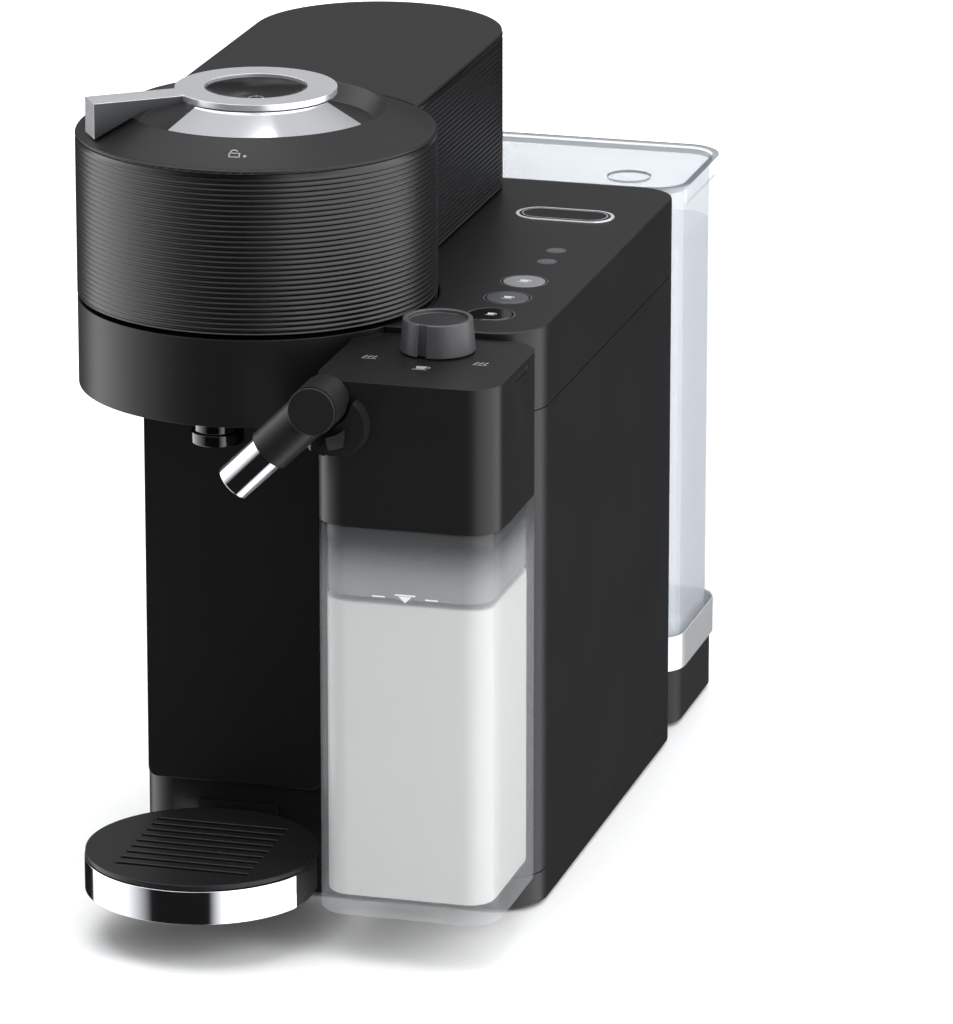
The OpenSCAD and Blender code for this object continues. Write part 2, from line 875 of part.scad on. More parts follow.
module tank_band() {
    color("#c9cacc")
    translate([0, 0, tank_z + 0.3]) linear_extrude(15) difference() {
        rounded(tank_l, tank_f, tank_r, tank_b, 14, 1);
        rounded(tank_l, tank_f, tank_r, tank_b, 14, 0.3);
        rect(tank_l - 9, tank_f - 9, tank_r - 14, tank_f + 24);
        rect(tank_l - 9, tank_f - 9, tank_r + 9, tank_f + 1);
        translate([ax, arch_y]) circle(arch_w + 8);
    }
}

module tank_lid() {
    color("#bcd0dc")
    difference() {
        translate([0, 0, tank_top_z - 3.6]) linear_extrude(2.4) tank2d(1.5);
        translate([66, 146, tank_top_z - 2.6]) cylinder(r = 9, h = 5);
    }
}

module tank_valve() {
    color("#e9ebec")
    translate([30, 160, 0]) {
        translate([0, 0, 16]) cylinder(r = 5.9, h = 16);
        translate([0, 0, 27.6]) cylinder(r = 9, h = 2);
    }
}

// ---- pod bin ----

module capsule_bin() {
    color("#2e2e31")
    difference() {
        box(-63, -39, 32, 9, 39, 112);
        box(-60.6, -36.6, 34.4, 6.6, 36.6, 130);
    }
}

module bin_front() {
    color("#262628")
    difference() {
        box(body_l + 0.1, -41.6, 30.4, -63.3, 41.6, 115.6);
        translate([body_l - 4, 0, 104]) rotate([0, 90, 0]) cylinder(r = 9, h = 5);
    }
}

base_plate();
rubber_feet();
base_screws();
bottom_skirt();
body_shell();
body_top_cover();
column_panel();
brew_unit_housing();
coffee_spout();
brew_chamber();
capsule_cup();
cup_bearing();
spin_motor();
internal_frame();
water_pump();
thermoblock();
flow_meter();
circuit_board();
water_hose();
steam_hose();
cord_gland();
hinge_bracket();
hinge_pin();
head_shell();
head_top_cover();
piercing_plate();
button_dish();
brew_button();
lever_ring();
lever_skirt();
lever_shaft();
badge();
indicator_lenses();
select_button_1();
select_button_2();
select_button_3();
steam_nozzle();
guide_pins();
tray_bracket();
drip_tray();
tray_band();
cup_plate();
milk_jug();
jug_lid();
port_seal();
milk_straw();
froth_knob();
spout_collar();
spout_arm();
spout_cap();
spout_tube();
lid_latch_right();
lid_latch_left();
tank_dock();
water_tank();
tank_band();
tank_lid();
tank_valve();
capsule_bin();
bin_front();
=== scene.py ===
"""Looks of a pod coffee machine with a milk jug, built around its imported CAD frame."""

import logging
import math
from dataclasses import dataclass, field
from enum import Enum
from typing import Callable, Iterable, Optional

import bmesh
import bpy
from mathutils import Matrix, Vector


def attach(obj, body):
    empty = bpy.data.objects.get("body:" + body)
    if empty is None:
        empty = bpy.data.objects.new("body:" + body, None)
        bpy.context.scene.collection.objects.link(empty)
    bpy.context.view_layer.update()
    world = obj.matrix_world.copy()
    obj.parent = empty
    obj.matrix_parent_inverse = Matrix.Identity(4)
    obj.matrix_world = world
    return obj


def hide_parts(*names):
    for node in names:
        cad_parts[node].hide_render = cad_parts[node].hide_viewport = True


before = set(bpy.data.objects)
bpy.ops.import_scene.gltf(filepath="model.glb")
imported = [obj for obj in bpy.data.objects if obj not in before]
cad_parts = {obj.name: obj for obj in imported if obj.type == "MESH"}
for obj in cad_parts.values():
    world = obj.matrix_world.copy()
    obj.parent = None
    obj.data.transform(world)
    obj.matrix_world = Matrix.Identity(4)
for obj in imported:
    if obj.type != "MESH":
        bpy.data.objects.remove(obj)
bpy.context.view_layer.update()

MM = 0.001
log = logging.getLogger("coffee_machine")


class Slot(str, Enum):
    """Material slots of the record; new pieces are handed one, which nothing here reads."""

    BLACK = "black_matte_plastic"
    RIBBED = "black_ribbed_plastic"
    SATIN = "dark_satin_plastic"
    GLOSS = "black_gloss_plastic"
    SMOKED = "smoked_gloss_plastic"
    ABS = "black_abs"
    CHROME = "chrome"
    BRUSHED = "brushed_metal"
    STEEL = "stainless_steel"
    GREY = "grey_plastic"
    CLEAR = "clear_plastic"
    FROSTED = "frosted_jug_plastic"


def linear(hex_colour: str) -> tuple[float, float, float, float]:
    """Turns an sRGB hex colour to linear RGBA.

    Args:
        hex_colour: six hex digits.

    Returns:
        Linear red, green, blue and an alpha of 1.
    """
    parts = [int(hex_colour[i : i + 2], 16) / 255 for i in (0, 2, 4)]
    made = [c / 12.92 if c <= 0.04045 else ((c + 0.055) / 1.055) ** 2.4 for c in parts]
    return (made[0], made[1], made[2], 1.0)


def add_node(tree: bpy.types.NodeTree, kind: str, settings: dict, inputs: dict) -> bpy.types.Node:
    """Adds one node to a tree.

    Args:
        tree: the node tree.
        kind: the node's type name.
        settings: attributes set on the node.
        inputs: by input name or number, either a value or an output socket to link.

    Returns:
        The new node.
    """
    made = tree.nodes.new(kind)
    for key, value in settings.items():
        setattr(made, key, value)
    for key, value in inputs.items():
        if isinstance(value, bpy.types.NodeSocket):
            tree.links.new(value, made.inputs[key])
        else:
            made.inputs[key].default_value = value
    return made


# ---- finishes ----


@dataclass(frozen=True)
class Finish:
    """A moulded, cast or drawn surface, with fine grain and slow variation over the piece.

    Lengths are millimetres; sizes of patterns are the real ones unless a comment says coarser.
    """

    name: str
    colour: str
    roughness: float
    metallic: float = 0.0
    ior: float = 1.5
    specular: float = 0.5
    transmission: float = 0.0
    alpha: float = 1.0
    coat: float = 0.0
    grain_mm: float = 0.5
    grain_depth_mm: float = 0.012
    patch_mm: float = 45.0
    mottle: float = 0.04
    rough_spread: float = 0.015
    centre_mm: tuple[float, float, float] = (0.0, 0.0, 0.0)

    def height(self, tree: bpy.types.NodeTree, place: bpy.types.NodeSocket) -> bpy.types.NodeSocket:
        """The fine surface relief: here an even moulded grain.

        Args:
            tree: the material's node tree.
            place: object coordinates in metres.

        Returns:
            A socket with heights from 0 to 1.
        """
        grain = add_node(tree, "ShaderNodeTexNoise", {},
                         {"Vector": place, "Scale": 1 / (self.grain_mm * MM), "Detail": 2.0, "Roughness": 0.55})
        return grain.outputs[0]

    def tint(self, tree: bpy.types.NodeTree, place: bpy.types.NodeSocket,
             plain: bpy.types.NodeSocket) -> bpy.types.NodeSocket:
        """The colour: here the plain one.

        Args:
            tree: the material's node tree.
            place: object coordinates in metres.
            plain: the slightly mottled base colour.

        Returns:
            The colour socket.
        """
        return plain

    def material(self) -> bpy.types.Material:
        """Builds the material, once.

        Returns:
            The material of this finish.
        """
        found = bpy.data.materials.get(self.name)
        if found:
            return found
        made = bpy.data.materials.new(self.name)
        made.use_nodes = True
        tree = made.node_tree
        tree.nodes.clear()
        coords = add_node(tree, "ShaderNodeTexCoord", {}, {})
        centre = Vector(self.centre_mm) * -MM
        place = add_node(tree, "ShaderNodeMapping", {}, {"Vector": coords.outputs["Object"], "Location": centre})
        relief = self.height(tree, place.outputs[0])
        bump = add_node(tree, "ShaderNodeBump", {},
                        {"Height": relief, "Strength": 0.6, "Distance": self.grain_depth_mm * MM})
        slow = add_node(tree, "ShaderNodeTexNoise", {},
                        {"Vector": place.outputs[0], "Scale": 1 / (self.patch_mm * MM), "Detail": 3.0})
        base = linear(self.colour)
        dark = tuple(c * (1 - self.mottle) for c in base[:3]) + (1.0,)
        light = tuple(min(1.0, c * (1 + self.mottle)) for c in base[:3]) + (1.0,)
        tint = add_node(tree, "ShaderNodeMix", {"data_type": "RGBA"}, {0: slow.outputs[0], 6: dark, 7: light})
        rough = add_node(tree, "ShaderNodeMapRange", {"interpolation_type": "SMOOTHSTEP"},
                         {0: slow.outputs[0], 1: 0.2, 2: 0.8, 3: max(0.02, self.roughness - self.rough_spread),
                          4: self.roughness + self.rough_spread})
        shader = add_node(tree, "ShaderNodeBsdfPrincipled", {},
                          {"Base Color": self.tint(tree, place.outputs[0], tint.outputs[2]),
                           "Roughness": rough.outputs[0], "Metallic": self.metallic,
                           "IOR": self.ior, "Specular IOR Level": self.specular, "Alpha": self.alpha,
                           "Transmission Weight": self.transmission, "Coat Weight": self.coat,
                           "Coat Roughness": 0.06, "Normal": bump.outputs[0]})
        add_node(tree, "ShaderNodeOutputMaterial", {}, {"Surface": shader.outputs[0]})
        return made


@dataclass(frozen=True)
class TurnedMetal(Finish):
    """Metal brushed in circles about a vertical axis: fine rings, drawn coarser than real so that they show."""

    ring_mm: float = 0.55

    def height(self, tree: bpy.types.NodeTree, place: bpy.types.NodeSocket) -> bpy.types.NodeSocket:
        """Rings of equal radius, in fine random steps.

        Args:
            tree: the material's node tree.
            place: coordinates about the turning axis, in metres.

        Returns:
            A socket with heights from 0 to 1.
        """
        flat = add_node(tree, "ShaderNodeVectorMath", {"operation": "MULTIPLY"}, {0: place, 1: (1.0, 1.0, 0.0)})
        radius = add_node(tree, "ShaderNodeVectorMath", {"operation": "LENGTH"}, {0: flat.outputs[0]})
        rings = add_node(tree, "ShaderNodeTexNoise", {"noise_dimensions": "1D"},
                         {"W": radius.outputs["Value"], "Scale": 1 / (self.ring_mm * MM), "Detail": 3.0})
        return rings.outputs[0]


@dataclass(frozen=True)
class PaintedLightFinish(Finish):
    """A finish with painted light and shade: its colour pales from one height down to another."""

    pale: str = "77797b"
    pale_z_mm: float = 149.0
    full_z_mm: float = 171.0

    def tint(self, tree: bpy.types.NodeTree, place: bpy.types.NodeSocket,
             plain: bpy.types.NodeSocket) -> bpy.types.NodeSocket:
        """Mixes the pale colour in by height: painted light and shade.

        Args:
            tree: the material's node tree.
            place: object coordinates in metres.
            plain: the colour without the painted light and shade.

        Returns:
            The colour socket.
        """
        parts = add_node(tree, "ShaderNodeSeparateXYZ", {}, {0: place})
        share = add_node(tree, "ShaderNodeMapRange", {"interpolation_type": "SMOOTHSTEP"},
                         {0: parts.outputs[2], 1: self.pale_z_mm * MM, 2: self.full_z_mm * MM})
        mixed = add_node(tree, "ShaderNodeMix", {"data_type": "RGBA"},
                         {0: share.outputs[0], 6: linear(self.pale), 7: plain})
        return mixed.outputs[2]


HEAD_AXIS = (-26.7, -72.1, 0.0)

# Textured ABS, spark-eroded mould: a soft grey sheen over near black.
MATTE_ABS = Finish("textured_abs_black", "151516", 0.38, specular=0.24)
# The same ABS on the ribbed drum, a little smoother so that each rib catches a line of light.
RIBBED_ABS = Finish("satin_abs_ribbed", "0c0c0d", 0.31, specular=0.36, grain_depth_mm=0.006)
# Satin ABS of the covers.
SATIN_ABS = Finish("satin_abs_black", "181819", 0.4, specular=0.22, grain_mm=0.4, grain_depth_mm=0.008)
# Unpainted ABS of hidden and lower parts: duller.
PLAIN_ABS = Finish("moulded_abs_black", "101011", 0.5, specular=0.2, grain_mm=0.7)
# Polished acrylic of the buttons, black, smoked and pale.
GLOSS_ACRYLIC = Finish("polished_acrylic_black", "070708", 0.1, coat=0.3, grain_mm=8.0, grain_depth_mm=0.0005,
                       rough_spread=0.01)
SMOKED_ACRYLIC = Finish("polished_acrylic_smoked", "48494c", 0.2, specular=0.3, grain_mm=8.0, grain_depth_mm=0.0005,
                        rough_spread=0.01)
PALE_ACRYLIC = Finish("polished_acrylic_pale", "77787b", 0.2, specular=0.3, grain_mm=8.0, grain_depth_mm=0.0005,
                      rough_spread=0.01)
# Chromed ABS: bright mirror with the faint waviness of plating on plastic.
CHROME = Finish("chrome_plated_abs", "cfd0d3", 0.09, metallic=1.0, grain_mm=16.0, grain_depth_mm=0.001,
                mottle=0.02, rough_spread=0.02)
# Aluminium turned on a lathe and lightly brushed: soft circular lines.
TURNED = TurnedMetal("turned_aluminium", "dfe0e2", 0.26, metallic=0.7, grain_depth_mm=0.004, mottle=0.02,
                     centre_mm=HEAD_AXIS)
# Painted shade on the sides of the lever's tab: the same turned aluminium, painted darker where light doesn't fall on
# them.
ARM_SIDE_SHADE = Finish("turned_aluminium_painted_shade", "3c3d3f", 0.32, metallic=0.7, grain_mm=0.6, grain_depth_mm=0.003)
# Satin chrome of the tank's band, and bright nickel of the badge.
SATIN_CHROME = Finish("satin_chrome", "c8cacc", 0.24, metallic=0.4, grain_mm=0.8, grain_depth_mm=0.001, mottle=0.02)
NICKEL = Finish("bright_nickel", "e6e7e9", 0.2, metallic=0.55, grain_mm=0.8, grain_depth_mm=0.001, mottle=0.02)
# Black polished a little less than the buttons: the dish and the badge's field.
DISH_BLACK = Finish("semi_gloss_black", "121213", 0.24, specular=0.1, grain_mm=4.0, grain_depth_mm=0.0005)
# Drawn stainless steel of tubes and pins.
STEEL = Finish("drawn_stainless_steel", "c4c5c8", 0.16, metallic=1.0, grain_mm=0.6, grain_depth_mm=0.003, mottle=0.03)
KNOB_GREY = Finish("satin_abs_graphite", "414143", 0.42, specular=0.4, grain_mm=0.4, grain_depth_mm=0.008)
# Painted shade: a darker graphite for a flat disc that stands in for the shade in the knob's recess.
KNOB_RECESS_SHADE = Finish("painted_recess_shade", "1f1f21", 0.45, specular=0.35, grain_mm=0.4)
# SAN copolymer of the tank: a thin clear veil, blue-grey at its thick rim.
CLEAR_SAN = Finish("clear_san_copolymer", "c4cad0", 0.08, ior=1.5, alpha=0.3, grain_mm=20.0,
                   grain_depth_mm=0.001, mottle=0.01, rough_spread=0.01)
RIM_SAN = Finish("clear_san_thick_rim", "565f69", 0.1, ior=1.5, alpha=0.8, grain_mm=20.0,
                 grain_depth_mm=0.001, mottle=0.02, rough_spread=0.01)
# Frosted polypropylene of the jug: a thin milky veil, with painted shade that makes it smokier towards the top, under
# the lid.
FROSTED_PP = PaintedLightFinish("frosted_polypropylene", "6c6e70", 0.24, ior=1.45, alpha=0.18, grain_mm=0.8,
                         grain_depth_mm=0.004, mottle=0.01, rough_spread=0.005, pale="c6c9cb", pale_z_mm=150.0,
                         full_z_mm=173.0)
MILK = Finish("cold_milk", "d0cfcd", 0.35, ior=1.35, grain_mm=30.0, grain_depth_mm=0.001, mottle=0.01,
              rough_spread=0.0)
WATER = Finish("still_water", "f3f6f8", 0.05, ior=1.33, alpha=0.5, grain_mm=30.0, grain_depth_mm=0.001,
               mottle=0.005, rough_spread=0.0)
# Dark polypropylene under the jug's lid, with painted light: painted paler towards its foot, where light through the
# frosted wall near the milk reaches it.
INSERT_PP = PaintedLightFinish("dark_polypropylene_painted_light", "0c0c0d", 0.6, specular=0.1, grain_mm=0.8, mottle=0.01)
# Pad-printed ink: thin, flat and slightly chalky.
INK_WHITE = Finish("pad_print_white", "dcdcdc", 0.5, grain_mm=0.3)
INK_PALE = Finish("pad_print_pale", "b4b5b7", 0.5, grain_mm=0.3)
INK_GREY = Finish("pad_print_grey", "8b8c8f", 0.5, grain_mm=0.3)
INK_DIM = Finish("pad_print_dim_grey", "5c5d60", 0.5, grain_mm=0.3)
RUBBER = Finish("moulded_rubber", "151515", 0.8, specular=0.3, grain_mm=0.9, grain_depth_mm=0.02)
SILICONE = Finish("silicone_rubber", "c9cdd1", 0.55, grain_mm=0.8)
PAINTED_STEEL = Finish("painted_steel", "5c5d60", 0.4, metallic=0.6, grain_mm=0.5)
CAST_ALUMINIUM = Finish("cast_aluminium", "a3a4a7", 0.45, metallic=1.0, grain_mm=1.2, grain_depth_mm=0.05)
SOLDER_MASK = Finish("solder_mask_green", "1f5c34", 0.3, coat=0.4, grain_mm=0.4)
NATURAL_NYLON = Finish("natural_nylon", "dcdee0", 0.5, grain_mm=0.6)


# ---- mesh tools ----


def merged_copy(node: str) -> bmesh.types.BMesh:
    """A joined-up copy of a CAD node, with its flat faces made whole.

    Args:
        node: the CAD node's name.

    Returns:
        A bmesh in the row frame.
    """
    bm = bmesh.new()
    bm.from_mesh(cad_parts[node].data)
    bmesh.ops.remove_doubles(bm, verts=bm.verts, dist=0.002 * MM)
    bmesh.ops.dissolve_limit(bm, angle_limit=math.radians(0.4), verts=bm.verts, edges=bm.edges)
    return bm


def round_edges(bm: bmesh.types.BMesh, width_mm: float, segments: int = 3,
                test: Optional[Callable[[Vector], bool]] = None) -> None:
    """Rounds the sharp edges of a mesh.

    Args:
        bm: the mesh.
        width_mm: how far the rounding reaches from an edge.
        segments: steps across the rounding.
        test: keeps only the edges whose middle passes.
    """
    sharp = []
    for edge in bm.edges:
        if len(edge.link_faces) != 2 or edge.calc_face_angle(0.0) < math.radians(30):
            continue
        middle = (edge.verts[0].co + edge.verts[1].co) / 2
        if test is None or test(middle / MM):
            sharp.append(edge)
    if sharp:
        bmesh.ops.bevel(bm, geom=sharp, offset=width_mm * MM, offset_type="OFFSET", segments=segments,
                        profile=0.5, affect="EDGES", clamp_overlap=True, material=-1)


def rounded_prism(low: tuple[float, float, float], high: tuple[float, float, float], corner: float,
                  edge: float = 0.0) -> bmesh.types.BMesh:
    """An upright box with round corners.

    Args:
        low: lowest corner, mm.
        high: highest corner, mm.
        corner: radius of the four upright edges, mm.
        edge: rounding of the other edges, mm.

    Returns:
        The mesh.
    """
    bm = bmesh.new()
    size = Vector(high) - Vector(low)
    middle = (Vector(high) + Vector(low)) / 2
    bmesh.ops.create_cube(bm, size=1.0, matrix=Matrix.Translation(middle * MM) @ Matrix.Diagonal((*(size * MM), 1.0)))
    upright = [e for e in bm.edges if abs(e.verts[0].co.z - e.verts[1].co.z) > size.z * MM / 2]
    bmesh.ops.bevel(bm, geom=upright, offset=corner * MM, segments=10, profile=0.5, affect="EDGES", material=-1)
    if edge:
        round_edges(bm, edge)
    return bm


def cylinder(x: float, y: float, low: float, high: float, radius: float, steps: int = 64) -> bmesh.types.BMesh:
    """An upright closed cylinder, used as a cutter or a start shape.

    Args:
        x: axis place, mm.
        y: axis place, mm.
        low: its foot, mm.
        high: its top, mm.
        radius: mm.
        steps: sides.

    Returns:
        The mesh.
    """
    bm = bmesh.new()
    place = Matrix.Translation(Vector((x, y, (low + high) / 2)) * MM)
    bmesh.ops.create_cone(bm, cap_ends=True, segments=steps, radius1=radius * MM, radius2=radius * MM,
                          depth=(high - low) * MM, matrix=place)
    return bm


def cut(bm: bmesh.types.BMesh, cutter: bmesh.types.BMesh) -> bmesh.types.BMesh:
    """Takes one closed mesh out of another.

    Args:
        bm: the mesh that stays; it is used up.
        cutter: what is taken out; it is used up.

    Returns:
        The new mesh.
    """
    holders = []
    for mesh_data in (bm, cutter):
        data = bpy.data.meshes.new("cut_work")
        mesh_data.to_mesh(data)
        mesh_data.free()
        holder = bpy.data.objects.new("cut_work", data)
        bpy.context.scene.collection.objects.link(holder)
        holders.append(holder)
    step = holders[0].modifiers.new("cut", "BOOLEAN")
    step.operation, step.solver, step.object = "DIFFERENCE", "EXACT", holders[1]
    bpy.context.view_layer.update()
    result = holders[0].evaluated_get(bpy.context.evaluated_depsgraph_get()).to_mesh()
    made = bmesh.new()
    made.from_mesh(result)
    for holder in holders:
        data = holder.data
        bpy.data.objects.remove(holder)
        bpy.data.meshes.remove(data)
    return made


def spun(x: float, y: float, sweep: Iterable[tuple[float, float]], first: float = 0.0, last: float = 360.0,
         steps: int = 128) -> bmesh.types.BMesh:
    """Turns a closed profile about an upright axis.

    Args:
        x: axis place, mm.
        y: axis place, mm.
        sweep: radius and height of the profile's corners, mm.
        first: starting angle, degrees.
        last: ending angle, degrees.
        steps: steps of the turn.

    Returns:
        The mesh.
    """
    bm = bmesh.new()
    start = Matrix.Rotation(math.radians(first), 3, "Z")
    verts = [bm.verts.new((start @ Vector((r, 0, z)) + Vector((x, y, 0))) * MM) for r, z in sweep]
    whole = last - first >= 360
    edges = [bm.edges.new(pair) for pair in zip(verts, verts[1:] + verts[:1])]
    faces = [] if whole else [bm.faces.new(verts)]
    bmesh.ops.spin(bm, geom=[*verts, *edges, *faces], cent=Vector((x, y, 0)) * MM, axis=(0, 0, 1),
                   angle=math.radians(last - first), steps=steps, use_merge=whole)
    bmesh.ops.remove_doubles(bm, verts=bm.verts, dist=0.001 * MM)
    return bm


def place(bm: bmesh.types.BMesh, name: str, body: str, finish: Finish, slot: Optional[Slot] = None,
          replaces: Iterable[str] = (), outward: bool = False, extra: Iterable[Finish] = ()) -> bpy.types.Object:
    """Makes a mesh a shown piece that rides on a body.

    Args:
        bm: the finished mesh; it is used up.
        name: the piece's name.
        body: the CAD body it moves with.
        finish: its finish.
        slot: the record's slot, if any; not used.
        replaces: CAD nodes that it stands for.
        outward: works out the face directions again.
        extra: further finishes, for faces with material numbers above 0.

    Returns:
        The object.
    """
    if outward:
        bmesh.ops.recalc_face_normals(bm, faces=bm.faces)
    data = bpy.data.meshes.new(name)
    bm.to_mesh(data)
    bm.free()
    data.shade_smooth()
    data.set_sharp_from_angle(angle=math.radians(38))
    for each in (finish, *extra):
        data.materials.append(each.material())
    piece = bpy.data.objects.new(name, data)
    bpy.context.scene.collection.objects.link(piece)
    weighted = piece.modifiers.new("weighted_normals", "WEIGHTED_NORMAL")
    weighted.keep_sharp = True
    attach(piece, body)
    if replaces:
        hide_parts(*replaces)
    log.info("%s: %d faces", name, len(data.polygons))
    return piece


def dress(nodes: Iterable[str], finish: Finish) -> None:
    """Gives CAD nodes a finish.

    Args:
        nodes: their names.
        finish: the finish.
    """
    for node in nodes:
        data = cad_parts[node].data
        data.materials.clear()
        data.materials.append(finish.material())
        log.info("%s dressed in %s", node, finish.name)


def soften(node: str, body: str, finish: Finish, slot: Slot, width_mm: float, segments: int = 3,
           test: Optional[Callable[[Vector], bool]] = None) -> bpy.types.Object:
    """Stands a copy with rounded edges in a CAD node's place.

    Args:
        node: the CAD node.
        body: its body.
        finish: its finish.
        slot: the record's slot.
        width_mm: reach of the rounding.
        segments: steps across it.
        test: keeps only some edges.

    Returns:
        The new piece.
    """
    bm = merged_copy(node)
    round_edges(bm, width_mm, segments, test)
    return place(bm, node + "_soft", body, finish, slot, (node,))


class Print:
    """Flat printed marks, drawn in a plane in millimetres and then laid on a surface."""

    def __init__(self) -> None:
        """Starts an empty print."""
        self.bm = bmesh.new()

    def disc(self, x: float, y: float, radius: float) -> None:
        """A filled round dot."""
        bmesh.ops.create_circle(self.bm, cap_ends=True, segments=24, radius=radius,
                                matrix=Matrix.Translation((x, y, 0)))

    def ring(self, x: float, y: float, radius: float, width: float, arc: Optional[tuple[float, float]] = None) -> None:
        """A ring, or part of one.

        Args:
            x: centre.
            y: centre.
            radius: outer radius.
            width: line width.
            arc: first and last angle in degrees, for a part ring.
        """
        first, last = arc or (0.0, 360.0)
        start = Matrix.Rotation(math.radians(first), 3, "Z") @ Vector((1, 0, 0))
        ends = [self.bm.verts.new(Vector((x, y, 0)) + start * r) for r in (radius - width, radius)]
        edge = self.bm.edges.new(ends)
        bmesh.ops.spin(self.bm, geom=[*ends, edge], cent=(x, y, 0), axis=(0, 0, 1),
                       angle=math.radians(last - first), steps=28, use_merge=arc is None)

    def bar(self, x: float, y: float, width: float, height: float, turn: float = 0.0, taper: float = 1.0) -> None:
        """A filled bar.

        Args:
            x: middle.
            y: middle.
            width: along its own x.
            height: along its own y.
            turn: degrees.
            taper: width at its low end as a share of the top.
        """
        made = bmesh.ops.create_grid(self.bm, x_segments=1, y_segments=1, size=0.5)["verts"]
        for vert in made:
            share = taper if vert.co.y < 0 else 1.0
            vert.co = Vector((vert.co.x * width * share, vert.co.y * height, 0))
        spot = Matrix.Translation((x, y, 0)) @ Matrix.Rotation(math.radians(turn), 4, "Z")
        bmesh.ops.transform(self.bm, matrix=spot, verts=made)

    def cup(self, x: float, y: float, size: float) -> None:
        """A plain cup with a handle and a saucer line."""
        self.bar(x, y + size * 0.05, size * 0.8, size * 0.6, taper=0.7)
        self.ring(x + size * 0.42, y + size * 0.1, size * 0.2, size * 0.08, (-100, 100))
        self.bar(x, y - size * 0.42, size * 1.0, size * 0.09)

    def steam(self, x: float, y: float, size: float) -> None:
        """Three leaning strokes over a line."""
        for step in (-0.35, 0.0, 0.35):
            self.bar(x + step * size, y + 0.1 * size, size * 0.1, size * 0.55, turn=-24)
        self.bar(x, y - size * 0.38, size * 1.1, size * 0.08)

    def lock(self, x: float, y: float, size: float) -> None:
        """An open padlock and a dot."""
        for side in (-1, 1):
            self.bar(x + side * size * 0.36, y - size * 0.2, size * 0.09, size * 0.5)
            self.bar(x, y + size * (side * 0.21 - 0.2), size * 0.8, size * 0.09)
        self.ring(x - size * 0.05, y + size * 0.1, size * 0.3, size * 0.1, (20, 200))
        self.disc(x + size * 0.75, y - size * 0.3, size * 0.12)

    def lay(self, name: str, body: str, where: Matrix, ink: Finish, thick_mm: float = 0.06) -> bpy.types.Object:
        """Gives the print its thickness and lays it on its surface.

        Args:
            name: the piece's name.
            body: the body it moves with.
            where: place and turn, with its origin in mm.
            ink: the ink.
            thick_mm: how far it stands up.

        Returns:
            The object.
        """
        made = bmesh.ops.extrude_face_region(self.bm, geom=list(self.bm.faces))["geom"]
        top = [g for g in made if isinstance(g, bmesh.types.BMVert)]
        bmesh.ops.translate(self.bm, vec=(0, 0, thick_mm), verts=top)
        bmesh.ops.transform(self.bm, matrix=Matrix.Scale(MM, 4) @ where, verts=self.bm.verts)
        return place(self.bm, name, body, ink, outward=True)


def flat_at(x: float, y: float, z: float, turn: float = 0.0) -> Matrix:
    """Place on a level surface, in mm, turned about the vertical."""
    return Matrix.Translation((x, y, z)) @ Matrix.Rotation(math.radians(turn), 4, "Z")


# ---- sub-assemblies ----


